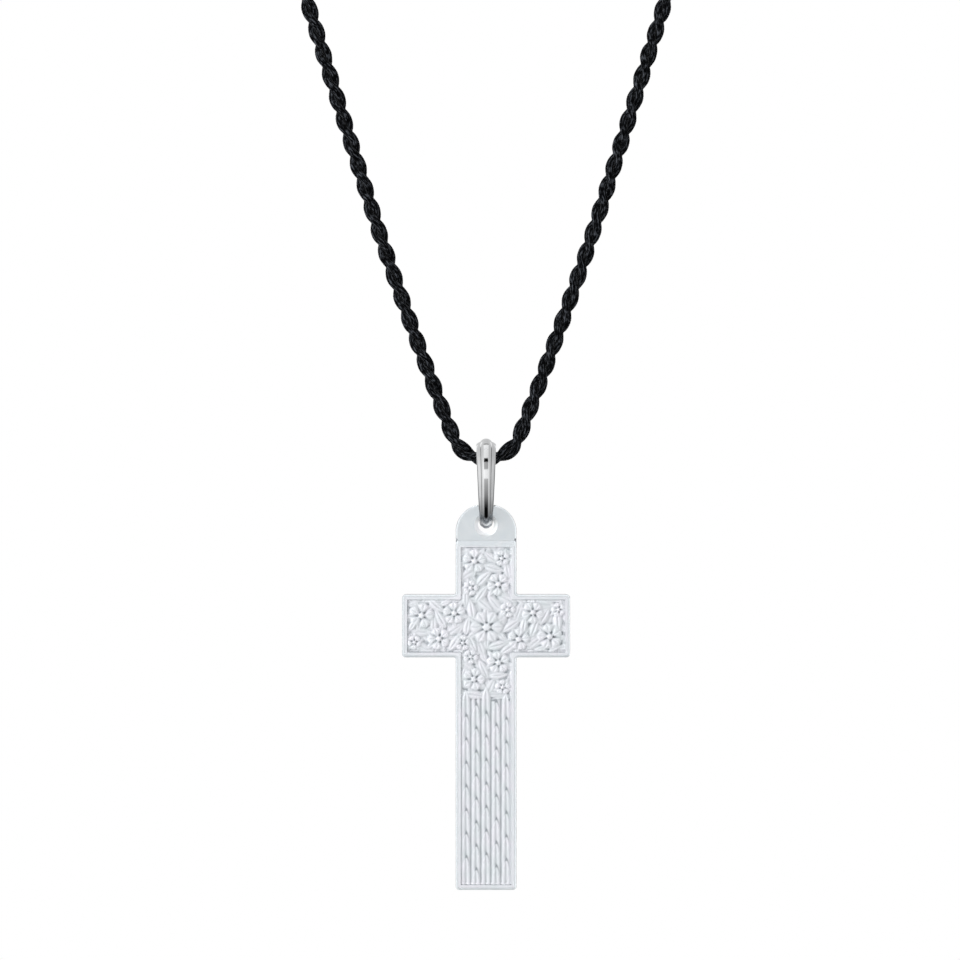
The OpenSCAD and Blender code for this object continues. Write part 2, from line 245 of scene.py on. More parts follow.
rings = [strand(0), strand(1)]
vertices = np.concatenate([r.reshape(-1, 3) for r in rings])
faces = []
for which in (0, 1):
    first = which * len(ring_at) * STRAND_SIDES
    last = first + (len(ring_at) - 1) * STRAND_SIDES
    for low in range(first, last, STRAND_SIDES):
        high = low + STRAND_SIDES
        for k in range(STRAND_SIDES):
            m = (k + 1) % STRAND_SIDES
            faces.append((low + k, high + k, high + m, low + m))
    faces.append([first + k for k in range(STRAND_SIDES)])
    faces.append([last + k for k in reversed(range(STRAND_SIDES))])
mesh = bpy.data.meshes.new("silk_cord")
mesh.from_pydata(vertices.tolist(), [], faces)
silk_cord = bpy.data.objects.new("silk_cord", mesh)
bpy.context.scene.collection.objects.link(silk_cord)
print("each strand has", len(ring_at), "rings")

# %% [markdown]
# The floss's fine lines follow each strand, so the cord carries its own UV map in millimetres: U
# along the strand and V round it.

# %% The cord's own map
girth = 2 * math.pi * math.sqrt((STRAND_DEEP**2 + STRAND_WIDE**2) / 2)
uv = mesh.uv_layers.new(name="floss").data
for face in mesh.polygons:
    ids = [mesh.loops[i].vertex_index % (len(ring_at) * STRAND_SIDES) for i in face.loop_indices]
    ks = [i % STRAND_SIDES for i in ids]
    wraps = max(ks) - min(ks) == STRAND_SIDES - 1 and len(ids) == 4
    for i, n, k in zip(face.loop_indices, ids, ks):
        k = STRAND_SIDES if wraps and k == 0 else k
        at = ring_at[n // STRAND_SIDES]
        uv[i].uv = (at, (k / STRAND_SIDES + at / TWIST_PITCH) * girth)
activate(silk_cord)
bpy.ops.object.shade_smooth()
to_metres(silk_cord)
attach(silk_cord, "cord_loop")
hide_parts("neck_cord")

# %% [markdown]
# ## Bail
#
# The bail is a closed ring of silver that the cord runs through and that holds the cross by its
# foot. A jeweller draws the strip with a domed rib between two rounded flanges and bends it to an
# oval, wide at the crown and narrow at the foot. Its inner face is rounded in a wide, flat
# ellipse, which keeps the foot clear of the rim of the cross's hole. A torus has the right net of
# faces for all that: each of its small circles is moved onto the strip's profile, whose width
# follows its height on the oval.

# %% Bail
BAIL_H, BAIL_D, BAIL_T = 12.5, 10.4, 1.35
BAIL_FOOT_W, BAIL_CROWN_W, BAIL_FLARE = 1.45, 2.85, 0.6
RIB_RISE, RIB_FOOT_RISE, RIB_SHARE, RIB_ANGLE = 0.45, 0.16, 0.58, math.radians(65)
FLANGE_SIDE, FLANGE_SLOPE = 0.47, math.tan(math.radians(24))
INNER_SHARE, INNER_RISE = 0.7, 0.45
INNER_POINTS, FLANGE_POINTS, DOME_POINTS = 8, 9, 9
WIRE_DROP, CORD_GAP = 0.55, 0.35
BAIL_STATIONS = 160
BAIL_Z = CORD_LOW + CORD_D / 2 + CORD_GAP + BAIL_T - BAIL_H / 2
HOLE_Z = BAIL_Z - BAIL_H / 2 + WIRE_DROP


def bail_profile(width):
    """Half of the strip's profile as (across, outwards), from its inner face to its rib's top."""
    half, rib = width / 2, RIB_SHARE * width / 2
    rise = np.interp(width, (BAIL_FOOT_W, BAIL_CROWN_W), (RIB_FOOT_RISE, RIB_RISE))
    joint = BAIL_T - rise
    inner = [(half * (1 - INNER_SHARE + INNER_SHARE * math.sin(a)), INNER_RISE * (1 - math.cos(a)))
             for a in np.linspace(0, math.pi / 2, INNER_POINTS)]
    shoulder = joint - FLANGE_SLOPE * (half - rib)
    flange = [(half - (half - rib) * t * t,
               (1 - t) ** 2 * FLANGE_SIDE + 2 * t * (1 - t) * shoulder + t * t * joint)
              for t in np.linspace(0, 1, FLANGE_POINTS)[:-1]]
    low = math.cos(RIB_ANGLE)
    dome = [(rib * math.sin(a) / math.sin(RIB_ANGLE),
             joint + rise * (math.cos(a) - low) / (1 - low))
            for a in np.linspace(RIB_ANGLE, 0, DOME_POINTS)]
    return inner + flange + dome


def whole_profile(width):
    """The profile all the way round: its right half and the mirror image of that."""
    right = bail_profile(width)
    return np.array(right + [(-x, h) for x, h in reversed(right[:-1])])


# The torus only lends its faces, so its own two radii don't matter.
bpy.ops.mesh.primitive_torus_add(
    major_segments=BAIL_STATIONS, minor_segments=len(whole_profile(1)),
    major_radius=1, minor_radius=0.3)
bail = newest("polished_bail")
inner_y, inner_z = BAIL_D / 2 - BAIL_T, BAIL_H / 2 - BAIL_T
strip = []
for turn in np.linspace(0, 2 * math.pi, BAIL_STATIONS, endpoint=False):
    y, z = inner_y * math.sin(turn), inner_z * math.cos(turn)
    out = Vector((inner_z * math.sin(turn), inner_y * math.cos(turn))).normalized()
    width = BAIL_FOOT_W + (BAIL_CROWN_W - BAIL_FOOT_W) * (z / BAIL_H + 0.5) ** BAIL_FLARE
    strip += [(x, y + out.x * h, z + out.y * h) for x, h in whole_profile(width)]
set_points(bail, strip)
face_outwards(bail)
activate(bail)
bpy.ops.object.shade_smooth_by_angle(angle=math.radians(25))
modify(bail, "WEIGHTED_NORMAL", keep_sharp=True)
to_metres(bail, BAIL_Z)
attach(bail, "bail_ring")
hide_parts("bail")

# %% [markdown]
# ## Cross
#
# The cross is one casting. Its body is a block for the crossing, with the arms, the stem and the
# tab drawn out of it by extrusion, as the mould's cavity was cut. The tab is thinner than the
# rest, so the last extrusions slope in before they go up. Rounding comes after, first the upright
# corners and then the rim of both faces, and the hole is drilled after that. The cross is shaped
# with its hole at height 0.

# %% Cross, the body
CROSS_H, BAR_W, BAR_H, STEM_W, BAR_DROP = 53.2, 23.2, 8.7, 8.4, 12.4
CROSS_T, BEVEL, BORDER_W, FIELD_DEPTH = 5, 0.35, 0.7, 0.45
TAB_T, TAB_H, SHOULDER_R, SLOPE_H = 2.8, 5.75, 3.7, 0.75
HOLE_R, HOLE_DROP, SINK_W = 1.1, 2.8, 0.5
CORNER_R, INNER_R = 0.5, 0.3
# How near two places have to be to count as one, and how near a point is to a line it lies on.
SAME, NEAR = 1e-4, 0.01
# How much of a face's normal lies along an axis when the face looks that way, leans that way, or
# is square to it.
ALONG, LEANING, SQUARE = 0.9, 0.5, 0.1

tab_top = HOLE_DROP
relief_top = tab_top - TAB_H
bar_top = tab_top - BAR_DROP
bar_low = bar_top - BAR_H
foot = tab_top - CROSS_H


def pull(obj, wanted, by, squeeze=None):
    """Extrudes the wanted faces by a vector, and narrows their depth if asked."""
    pick_faces(obj, wanted)
    bpy.ops.mesh.extrude_region_move(TRANSFORM_OT_translate={"value": by})
    if squeeze:
        bpy.ops.transform.resize(value=(1, squeeze, 1), center_override=(0, 0, 0))
    bpy.ops.object.mode_set(mode="OBJECT")


def central(way):
    """A test for the faces of the stem and the tab that look up (1) or down (-1)."""
    return lambda c, n: n.z * way > ALONG and abs(c.x) < 1


bpy.ops.mesh.primitive_cube_add(size=1, location=(0, 0, (bar_top + bar_low) / 2))
cross = newest("crystal_cross")
bpy.ops.transform.resize(value=(STEM_W, CROSS_T, BAR_H))
bpy.ops.object.transform_apply(location=True, rotation=True, scale=True)
for side in (-1, 1):
    pull(cross, lambda c, n: n.x * side > ALONG, (side * (BAR_W - STEM_W) / 2, 0, 0))
pull(cross, central(-1), (0, 0, foot - bar_low))
pull(cross, central(1), (0, 0, relief_top - bar_top))
pull(cross, central(1), (0, 0, SLOPE_H), TAB_T / CROSS_T)
pull(cross, central(1), (0, 0, tab_top - relief_top - SLOPE_H))

# Faces that lie in one plane are made one face, so that each corner is rounded as a whole.
activate(cross)
bpy.ops.object.mode_set(mode="EDIT")
bpy.ops.mesh.select_all(action="SELECT")
bpy.ops.mesh.dissolve_limited(angle_limit=math.radians(1))
bpy.ops.object.mode_set(mode="OBJECT")


def round_edges(wanted, radius, segments, **settings):
    pick_edges(cross, wanted)
    bpy.ops.mesh.bevel(offset=radius, offset_type="OFFSET", segments=segments, profile=0.5,
                       affect="EDGES", **settings)
    bpy.ops.object.mode_set(mode="OBJECT")


def upright(wanted):
    """A test for the wanted edges among those that run from the front to the back."""
    return lambda a, b, sides: abs(a.x - b.x) < SAME and abs(a.z - b.z) < SAME and wanted(a)


def inner_corner(a):
    """One of the four corners between the arms and the stem."""
    return abs(abs(a.x) - STEM_W / 2) < NEAR and bar_low - NEAR < a.z < bar_top + NEAR


def is_rim(a, b, sides):
    """An edge where the front or back, or the tab's slope, meets a side wall."""
    if len(sides) != 2:
        return False
    flat, wall = sorted(sides, key=lambda n: -abs(n.y))
    return abs(flat.y) > LEANING and abs(wall.y) < SQUARE


round_edges(upright(lambda a: a.z > tab_top - NEAR), SHOULDER_R, 28)
round_edges(upright(lambda a: a.z < foot + NEAR or abs(a.x) > BAR_W / 2 - NEAR), CORNER_R, 8)
round_edges(upright(inner_corner), INNER_R, 6)
round_edges(is_rim, BEVEL, 4, clamp_overlap=False)
print("cross body spans", points_of(cross).min(0).round(2), points_of(cross).max(0).round(2))

# %% [markdown]
# The hole is a straight drilling with a wide countersink on both sides: a cone cuts each
# countersink and a cylinder the hole. Two plain blocks, one for the stem and one for the arms,
# sink the field.

# %% Cross, drilling and sunk field
HOLE_SIDES = 96
for side in (-1, 1):
    bpy.ops.mesh.primitive_cone_add(
        vertices=HOLE_SIDES, radius1=HOLE_R, radius2=HOLE_R + 2 * SINK_W, depth=2 * SINK_W,
        location=(0, side * TAB_T / 2, 0), rotation=(-side * math.pi / 2, 0, 0))
    cut(cross, newest("countersink"))
bpy.ops.mesh.primitive_cylinder_add(
    vertices=HOLE_SIDES, radius=HOLE_R, depth=2 * CROSS_T, rotation=(math.pi / 2, 0, 0))
cut(cross, newest("drill"))

floor_y = -(CROSS_T / 2 - FIELD_DEPTH)
# The field ends this far under the foot of the tab's slope.
LIP = 0.12
stem_part = (STEM_W / 2, foot + BORDER_W, relief_top - LIP)
arm_part = (BAR_W / 2, bar_low + BORDER_W, bar_top - BORDER_W)
for reach, low, high in (stem_part, arm_part):
    bpy.ops.mesh.primitive_cube_add(
        size=1, location=(0, floor_y - CROSS_T / 2, (low + high) / 2))
    block = newest("sinker")
    bpy.ops.transform.resize(value=(2 * (reach - BORDER_W), CROSS_T, high - low))
    bpy.ops.object.transform_apply(location=True, rotation=True, scale=True)
    cut(cross, block)
print("field floor at depth", round(floor_y, 2))

# %% [markdown]
# ## Relief
#
# The raised work is blossoms and leaves over a bed of small leaves, and below them pointed leaves
# that overlap like tiles and grow out of reeds. Sculpting it by hand would take a day, and a bump
# would leave it flat from the side. So the height of every point is worked out from the same few
# forms that the CAD part uses: a leaf is a dome over a pointed oval with a crease down its middle,
# and a blossom is a ring of such petals round an eye. Where forms meet, the higher one wins.
# Heights are shares of RELIEF_H.

# %% Relief, the forms
RELIEF_H, BED_H, REED_H = 0.55, 0.12, 0.42
# Each blossom: x, height, radius, turn in degrees and number of petals.
BLOSSOMS = [
    (0.1, -14.1, 2.4, 0, 6),
    (-4.4, -12.2, 1.65, 20, 5), (-8.9, -12.5, 1.85, 5, 5), (-6.5, -15.7, 1.65, 40, 5),
    (4.5, -15.8, 1.65, 10, 5), (8.8, -15.4, 1.85, 30, 5), (6.5, -12.1, 1.65, 55, 5),
    (-1.6, -5, 1.75, 15, 5), (1.7, -8.2, 1.65, 50, 5),
    (1.7, -19, 1.65, 25, 5), (-1.7, -21.3, 1.65, 0, 5),
    (2.2, -4.6, 1.15, 30, 5), (-2.1, -8.7, 1.15, 0, 5), (-9.9, -16.2, 1.05, 50, 5),
    (-3.2, -16.3, 1.15, 10, 5), (3, -11.7, 1.15, 0, 5), (10, -11.7, 1.05, 35, 5),
    (-2.1, -18.2, 1.1, 60, 5), (2.3, -22.4, 1.1, 20, 5),
]
# Each leaf: x and height of its root, direction in degrees and length.
LEAVES = [
    (-1.9, -3.3, 205, 2), (1.6, -5.3, 140, 2.8), (-0.4, -5.6, 345, 3.2), (-3.5, -7.5, 35, 3.2),
    (3.2, -7.6, 100, 2.8), (-1.4, -8.5, 45, 3.2), (1.5, -9.6, 335, 3.2), (-1.3, -10.1, 320, 3.2),
    (-8, -10.2, 320, 3.2), (-8.8, -10.6, 195, 2.4), (-1.5, -10.8, 55, 3.2), (-6.5, -11.1, 20, 2),
    (9.7, -11.1, 175, 3.2), (-2.8, -11.4, 90, 2.8), (9.8, -11.9, 275, 3.2), (2.2, -12, 130, 3.2),
    (4.7, -13.1, 215, 3.2), (-1.7, -13.2, 100, 3.2), (4, -13.4, 70, 3.2), (7.3, -13.9, 60, 3.2),
    (-5.5, -14.3, 120, 3.2), (2, -14.3, 80, 3.2), (1.4, -14.6, 315, 2.4), (-10.7, -14.7, 55, 2.4),
    (-10.3, -14.8, 0, 3.2), (-7.2, -14.9, 90, 2.8), (5, -15.2, 80, 2.8), (-5.6, -15.3, 35, 3.2),
    (-2.8, -15.3, 80, 2.8), (-2.4, -15.3, 295, 2.8), (-1.2, -15.6, 290, 3.2), (6.2, -15.6, 70, 3.2),
    (4.3, -16.2, 215, 3.2), (-9.8, -16.4, 335, 2.8), (8.6, -16.9, 190, 2), (0.2, -17, 15, 3.2),
    (5.6, -17.2, 40, 3.2), (8.7, -17.3, 20, 2), (-5.1, -17.4, 55, 3.2), (-3.5, -18.7, 330, 2.4),
    (-2.5, -19.5, 240, 2), (0.4, -20.9, 5, 2.8), (1.2, -21.2, 245, 3.2), (0.3, -21.3, 115, 3.2),
    (-0.2, -23.7, 170, 3.2), (1.1, -23.8, 5, 2.4),
]
LEAF_SHARE, LEAF_CREASE, LEAF_LOW, LEAF_STEP = 0.45, 0.4, 0.56, 0.13
# The crease takes one part in so many of the half width.
CREASE_PART, UPRIGHT_CREASE_PART = 4, 2.5
UNDER_CELL, UNDER_LEAF, UNDER_H, UNDER_WAVE, GOLDEN_ANGLE = 1.3, 2.3, 0.4, 0.1, 137.5
EYE_R = 0.22
# Below this height there are no blossoms, and the upright leaves begin about there.
RELIEF_TURN, SCALES_TOP = -24, -22.4
SCALE_PITCH, SCALE_SIZE, SCALE_ROWS = (1.384, 3.25), (1.42, 4.9), 8
SCALE_ROOT_H, SCALE_LIFT, TIP_L, TIP_ARCH = 0.3, 0.65, 1.6, 1.8
COLUMN_DROP = np.array([0.4, 2.1, 0, 1.7, 0.8])


def turned(x, y, degrees):
    c, s = math.cos(math.radians(degrees)), math.sin(math.radians(degrees))
    return x * c + y * s, y * c - x * s


def blade(x, y, length, width, full, crease):
    """A leaf or petal with its root at (0, 0) and its tip at (0, length), widest at full."""
    s = np.clip(y / length, 1e-6, 1 - 1e-6)
    a = np.abs(x) / (width / 2 * np.sin(np.pi * s ** (math.log(0.5) / math.log(full))))
    dome = np.sqrt(np.clip(1 - a * a, 0, 1)) * np.sin(np.pi * s) ** 0.3
    creased = dome * (1 - crease * np.clip(1 - CREASE_PART * a, 0, 1))
    return np.where((y > 0) & (y < length), creased, 0)


def leaf(x, y, length):
    return blade(x, y, length, LEAF_SHARE * length, full=0.42, crease=LEAF_CREASE)


def petal_of(x, y, petals, turn, root, length, width, full, crease):
    """One ring of petals: each point is turned into the nearest petal's own sector."""
    d, angle = np.hypot(x, y), np.arctan2(y, x) + math.radians(turn)
    step = 2 * math.pi / petals
    a = angle - np.round(angle / step) * step
    return blade(d * np.sin(a), d * np.cos(a) - root, length, width, full, crease)


def blossom(x, y, r, petals):
    """A domed eye, a ring of petals that rise outwards and narrow ones between and under them."""
    x, y = x / r, y / r
    d = np.hypot(x, y)
    eye = np.where(d < EYE_R, 0.85 + 0.3 * np.sqrt(np.clip(1 - (d / EYE_R) ** 2, 0, 1)), 0)
    cup = 0.78 + 0.22 * np.clip(d, 0, 1)
    top = cup * petal_of(
        x, y, petals, turn=0, root=0.08, length=0.92, width=5 / petals, full=0.64, crease=0.25)
    under = 0.62 * petal_of(
        x, y, petals, turn=180 / petals, root=0.4, length=0.95, width=0.5, full=0.45, crease=0.4)
    return np.maximum.reduce([eye, top, under])


def foliage(x, y):
    """The leaves lie at three heights, so that those which cross stay apart."""
    found = np.zeros_like(x)
    for n, (lx, ly, direction, length) in enumerate(LEAVES):
        form = leaf(*turned(x - lx, y - ly, direction - 90), length)
        found = np.maximum(found, (LEAF_LOW + LEAF_STEP * (n % 3)) * form)
    return found


def undergrowth(x, y):
    """Small leaves, one in each cell of a grid and each turned by the golden angle."""
    column, row = np.round(x / UNDER_CELL), np.round(y / UNDER_CELL)
    found = np.zeros_like(x)
    for di in (-1, 0, 1):
        for dj in (-1, 0, 1):
            i, j = column + di, row + dj
            angle = np.radians(GOLDEN_ANGLE * (i + 7 * j))
            px, py = x - UNDER_CELL * (i + (j % 2) / 2 - 0.25), y - UNDER_CELL * j
            u, v = px * np.cos(angle) + py * np.sin(angle), py * np.cos(angle) - px * np.sin(angle)
            form = leaf(u, v + UNDER_LEAF / 2, UNDER_LEAF)
            found = np.maximum(found, (UNDER_H + UNDER_WAVE * np.sin(5 * i + 3 * j)) * form)
    return found


def upright_leaf(x, u):
    """A creased leaf with parallel sides and a pointed arch, lifted from its root to its tip."""
    width, length = SCALE_SIZE
    tip = np.clip(1 - (length - u) / TIP_L, 0, 1)
    a = np.abs(x) / (width / 2 * (1.001 - tip**TIP_ARCH))
    dome = np.sqrt(np.clip(1 - a * a, 0, 1))
    dome = dome * (1 - LEAF_CREASE * np.clip(1 - UPRIGHT_CREASE_PART * a, 0, 1))
    return np.where((u > 0) & (u < length), dome * (SCALE_ROOT_H + SCALE_LIFT * u / length), 0)


def scale_leaves(x, y):
    """Columns of upright leaves, each laid over the root of the one above."""
    pitch_x, pitch_y = SCALE_PITCH
    outermost = len(COLUMN_DROP) // 2
    found = np.zeros_like(x)
    for step in (0, 1):
        column = np.floor(x / pitch_x) + step
        drop = COLUMN_DROP[np.clip(column + outermost, 0, 2 * outermost).astype(int)]
        q = (SCALES_TOP - drop - y) / pitch_y
        for k in (np.floor(q) - 1, np.floor(q)):
            form = upright_leaf(x - column * pitch_x, SCALE_SIZE[1] - (q - k) * pitch_y)
            there = (k >= 0) & (k < SCALE_ROWS) & (np.abs(column) <= outermost)
            found = np.maximum(found, np.where(there, form, 0))
    return found


def relief(x, y):
    """Height of the raised work over the field's floor."""
    flowers = np.maximum(undergrowth(x, y), foliage(x, y))
    for bx, by, r, turn, petals in BLOSSOMS:
        flowers = np.maximum(flowers, blossom(*turned(x - bx, y - by, turn), r, petals))
    reeds = BED_H + REED_H * np.sqrt(np.abs(np.sin(2 * np.pi * x / SCALE_PITCH[0])))
    below = np.where(y > RELIEF_TURN, flowers, reeds)
    return RELIEF_H * np.maximum(below, scale_leaves(x, y))


print(len(BLOSSOMS), "blossoms and", len(LEAVES), "leaves")

# %% [markdown]
# The forms are laid on a fine grid that is trimmed to the field's outline. Molten glass doesn't
# fill the sharpest corners of its mould, so the heights are softened a little. The sheet laps into
# the wall of the field at its upright edges and at its top. At the foot and at the level edges of
# the arms it stops just short, which leaves the fine dark line that the casting shows there. Its
# rim stands at GROUND over the floor. Then the sheet is drawn back into the body and fused with
# it, and the casting is one solid again.

# %% Relief, cut and fused
FINE, TINY = 0.077, 1e-6
LAP, LEVEL_GAP, EMBED, GROUND = 0.04, 0.03, 0.15, 0.28
RING_NEAR = 0.02
arm_x = BAR_W / 2 - BORDER_W + LAP
stem_x = STEM_W / 2 - BORDER_W + LAP
arm_high, arm_low = bar_top - BORDER_W - LEVEL_GAP, bar_low + BORDER_W + LEVEL_GAP
field_high, field_low = relief_top - LIP + LAP, foot + BORDER_W + LEVEL_GAP


def lines(*stops):
    """Evenly spaced grid lines between the stops, which are grid lines themselves."""
    parts = []
    for a, b in zip(stops, stops[1:]):
        parts.append(np.linspace(a, b, max(2, round(abs(b - a) / FINE) + 1))[:-1])
    return np.concatenate([*parts, stops[-1:]])


def soften(h):
    """Each height mixed with its neighbours, up and down and then from side to side."""
    for axis in (0, 1):
        h = (np.roll(h, 1, axis) + 2 * h + np.roll(h, -1, axis)) / 4
    return h


def on_ring(a, b, radius):
    """Whether an edge lies on a circle round the hole's axis."""
    return all(abs(math.hypot(p.x, p.z) - radius) < RING_NEAR for p in (a, b))


grid_x = lines(-arm_x, -stem_x, stem_x, arm_x)
grid_z = lines(field_low, arm_low, arm_high, field_high)
bpy.ops.mesh.primitive_grid_add(
    x_subdivisions=len(grid_x) - 1, y_subdivisions=len(grid_z) - 1, size=2,
    rotation=(math.pi / 2, 0, 0))
raised = newest("raised_work")
bpy.ops.object.transform_apply(location=False, rotation=True, scale=False)
sheet = points_of(raised)
i = np.round((sheet[:, 0] + 1) / 2 * (len(grid_x) - 1)).astype(int)
j = np.round((sheet[:, 2] + 1) / 2 * (len(grid_z) - 1)).astype(int)
X, Z = np.meshgrid(grid_x, grid_z)
height = soften(relief(X, Z))
in_stem = (np.abs(X) < stem_x - TINY) & (Z > field_low + TINY) & (Z < field_high - TINY)
in_arms = (np.abs(X) < arm_x - TINY) & (Z > arm_low + TINY) & (Z < arm_high - TINY)
inside = in_stem | in_arms
height = np.where(inside, height, GROUND)
set_points(raised, np.column_stack([grid_x[i], floor_y - height[j, i], grid_z[j]]))
pick_faces(raised, lambda c, n: abs(c.x) > stem_x and not arm_low < c.z < arm_high)
bpy.ops.mesh.delete(type="FACE")

# The copy of the sheet that the extrusion makes is pressed flat, a little behind the floor.
bpy.ops.mesh.select_all(action="SELECT")
bpy.ops.mesh.extrude_region_move(TRANSFORM_OT_translate={"value": (0, 2, 0)})
bpy.ops.transform.resize(value=(1, 0, 1), center_override=(0, floor_y + EMBED, 0))
face_outwards(raised)
cut(cross, raised, "UNION")
activate(cross)
bpy.ops.object.shade_smooth_by_angle(angle=math.radians(50))
pick_edges(cross, lambda a, b, sides: a.z > relief_top and any(
    on_ring(a, b, radius) for radius in (HOLE_R, HOLE_R + SINK_W)))
bpy.ops.mesh.mark_sharp()
bpy.ops.object.mode_set(mode="OBJECT")
modify(cross, "WEIGHTED_NORMAL", keep_sharp=True)
to_metres(cross, HOLE_Z)
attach(cross, "cross_drop")
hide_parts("cross")

# %% [markdown]
# ## Finishes
#
# Every finish is drawn by formulas in the shader, in real millimetres. An object's own coordinates
# are metres, so a pattern that repeats once in a millimetre has a scale of 1000. The frost of the
# satin, the silver's hairlines and the threads of the silk are drawn several times coarser than
# they are, because a picture from this distance would average the real ones away.

# %% Material tools
PER_MM = 1000


def linear(code):
    """An sRGB colour such as "8FA0B0" as the linear numbers that a shader takes."""
    channels = [int(code[k:k + 2], 16) / 255 for k in (0, 2, 4)]
    return [c / 12.92 if c <= 0.04045 else ((c + 0.055) / 1.055) ** 2.4 for c in channels] + [1]


def add(tree, kind, links=None, **settings):
    """Adds a node. Settings name its properties or inputs, and links joins outputs to inputs."""
    node = tree.nodes.new("ShaderNode" + kind)
    for key, value in settings.items():
        if hasattr(node, key):
            setattr(node, key, value)
        else:
            node.inputs[key.replace("_", " ")].default_value = value
    for key, output in (links or {}).items():
        tree.links.new(output, node.inputs[key])
    return node


def noise(tree, place, scale, detail, rough=0.5):
    node = add(tree, "TexNoise", {"Vector": place}, Scale=scale, Detail=detail, Roughness=rough)
    return node.outputs["Fac"]


def stretched(tree, place, scale):
    return add(tree, "Mapping", {"Vector": place}, Scale=scale).outputs["Vector"]


def span(tree, value, **ends):
    """A value moved from one range to another, which are both 0 to 1 unless given."""
    return add(tree, "MapRange", {"Value": value}, **ends).outputs["Result"]


def ramp(tree, output, *stops):
    """A colour ramp: each stop is a place from 0 to 1 and an sRGB colour or a plain grey number."""
    node = add(tree, "ValToRGB", {"Fac": output})
    elements = node.color_ramp.elements
    for k, (place, tone) in enumerate(stops):
        element = elements[k] if k < 2 else elements.new(place)
        element.position = place
        element.color = linear(tone) if isinstance(tone, str) else (tone, tone, tone, 1)
    return node.outputs["Color"]


def multiplied(tree, first, second):
    """Two colours multiplied, as one glaze over another."""
    node = add(tree, "Mix", data_type="RGBA", blend_type="MULTIPLY")
    node.inputs[0].default_value = 1
    tree.links.new(first, node.inputs[6])
    tree.links.new(second, node.inputs[7])
    return node.outputs[2]


def bumped(tree, height, strength, depth):
    """The surface's direction where a pattern makes it uneven, to a depth in millimetres."""
    node = add(tree, "Bump", {"Height": height}, Strength=strength, Distance=depth * MM)
    return node.outputs["Normal"]


def finish(name, **settings):
    """A new material, its node tree and its surface shader with the given constants."""
    material = bpy.data.materials.new(name)
    material.use_nodes = True
    tree = material.node_tree
    skin = tree.nodes["Principled BSDF"]
    for key, value in settings.items():
        skin.inputs[key.replace("_", " ")].default_value = value
    print("finish:", name)
    return material, tree, skin


def coat(tree, skin, colour, roughness, normal=None):
    """Joins the patterns of a finish to its surface shader."""
    tree.links.new(colour, skin.inputs["Base Color"])
    tree.links.new(roughness, skin.inputs["Roughness"])
    if normal:
        tree.links.new(normal, skin.inputs["Normal"])


# %% [markdown]
# The polished crystal is clear with the faintest cold tint, and looks light grey only because it
# shows the room behind it. What the eye sees on it is how slightly uneven fire-polished glass is:
# a faint swell of a few millimetres that bends reflections, and a bloom where fingers have touched
# it, which also takes a little of its clearness.

# %% Polished crystal
CRYSTAL_IOR = 1.545
polished, tree, skin = finish("polished_lead_crystal", Transmission_Weight=0.85, IOR=CRYSTAL_IOR)
place = add(tree, "TexCoord").outputs["Object"]
swell = noise(tree, place, 0.35 * PER_MM, 2)
bloom = noise(tree, place, 0.9 * PER_MM, 5, 0.6)
coat(tree, skin,
     colour=ramp(tree, bloom, (0.35, "E5ECF1"), (0.65, "F0F4F7")),
     roughness=ramp(tree, bloom, (0.4, 0.02), (0.7, 0.07)),
     normal=bumped(tree, swell, 0.08, 0.05))

# %% [markdown]
# The raised work is satin: the mould and an acid bath leave its skin matt, and the tops of petals
# and leaves are wiped smoother. Its shade is painted into its colour: the hollows are painted
# darker and the tops lighter, so the mesh carries a number that says how proud each point is of
# its surroundings: its height less the mean height round it. In the reeds and the upright leaves
# the number counts for more, and edges that look upwards get painted shade. Beside the field's
# edge it is kept up, painted light without which the rim would look black. The border and the
# countersink have a plain value each, and the countersink's paints it full white.

# %% How deep each point of the relief lies
# Reaches are in cells of the grid. The dip and the edge's least value are in millimetres, and the
# border's and the sink's values and the greatest one are shares of RELIEF_H. The reeds' numbers
# deepen the painted shade there, and the greatest value caps the highlight painted on the tops.
REACH_ROUND, REACH_UPRIGHT, REACH_EDGE, REACH_ABOVE = 6, 3, 3, 4
REEDS_CONTRAST, REEDS_DIP, UPPER_SHADE = 1.75, 0.012, 1.7
BORDER_PROUD, SINK_PAINTED_WHITE, EDGE_PAINTED_LIGHT, MOST_PROUD = 0.04, 0.25, 0.09, 0.15


def spread_out(h, reach, axes=(0, 1)):
    """The mean height within so many cells, as a running mean along each axis in turn."""
    for axis in axes:
        padded = np.concatenate([h.take([0] * reach, axis), h, h.take([-1] * reach, axis)], axis)
        total = np.cumsum(np.insert(padded, 0, 0, axis), axis)
        width = 2 * reach + 1
        count = total.shape[axis]
        h = (total.take(range(width, count), axis) - total.take(range(count - width), axis)) / width
    return h


# Painted shade: points lower than their surroundings are painted darker, higher ones lighter.
proud = height - (spread_out(height, REACH_ROUND) + spread_out(height, REACH_UPRIGHT, (0,))) / 2
# Edges that look upwards are painted darker, as painted shade.
falls = np.clip(height - np.roll(height, -REACH_ABOVE, 0), 0, None)
in_reeds = REEDS_CONTRAST * proud - REEDS_DIP - UPPER_SHADE * falls
proud = np.where(Z < RELIEF_TURN, in_reeds, proud)
shifts = [(shift, axis) for shift in (-REACH_EDGE, REACH_EDGE) for axis in (0, 1)]
open_field = np.all([np.roll(inside, shift, axis) for shift, axis in shifts], axis=0)
# Near the field's edge the value is kept up: painted light against the wall's shadow.
proud = np.where(open_field, proud, np.maximum(proud, EDGE_PAINTED_LIGHT))
points = points_of(cross) / MM - (0, 0, HOLE_Z)
column = np.clip(np.searchsorted(grid_x, points[:, 0] - FINE / 2), 0, len(grid_x) - 1)
row = np.clip(np.searchsorted(grid_z, points[:, 2] - FINE / 2), 0, len(grid_z) - 1)
raised_points = inside[row, column] & (points[:, 1] < floor_y + NEAR)
